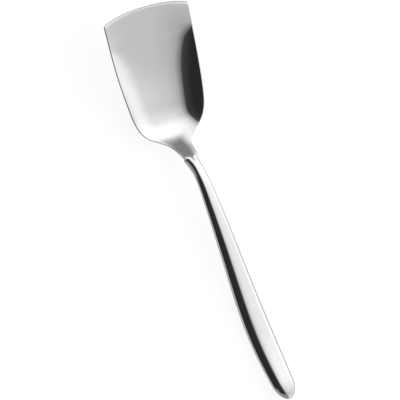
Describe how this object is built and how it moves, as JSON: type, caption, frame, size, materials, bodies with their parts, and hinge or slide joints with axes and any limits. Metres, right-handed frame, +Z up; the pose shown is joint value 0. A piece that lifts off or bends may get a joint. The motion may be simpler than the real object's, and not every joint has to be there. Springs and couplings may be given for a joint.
{
  "type": "ice cream spade",
  "caption": "Polished steel ice cream spade: a shallow squared blade with turned-up sides on a slim arched handle, made in one piece.",
  "frame": {"origin": "middle of the bounding box in plan, on the table that the spade lies on", "axes": "+Y from the handle's tail to the blade's front edge, +Z up out of the blade's hollow, +X across"},
  "size_m": [0.0348, 0.1392, 0.0156],
  "materials": {
    "polished_steel": "mirror-polished stainless steel"
  },
  "bodies": {
    "root": {"ice_cream_spade": "polished_steel"}
  },
  "joints": []
}
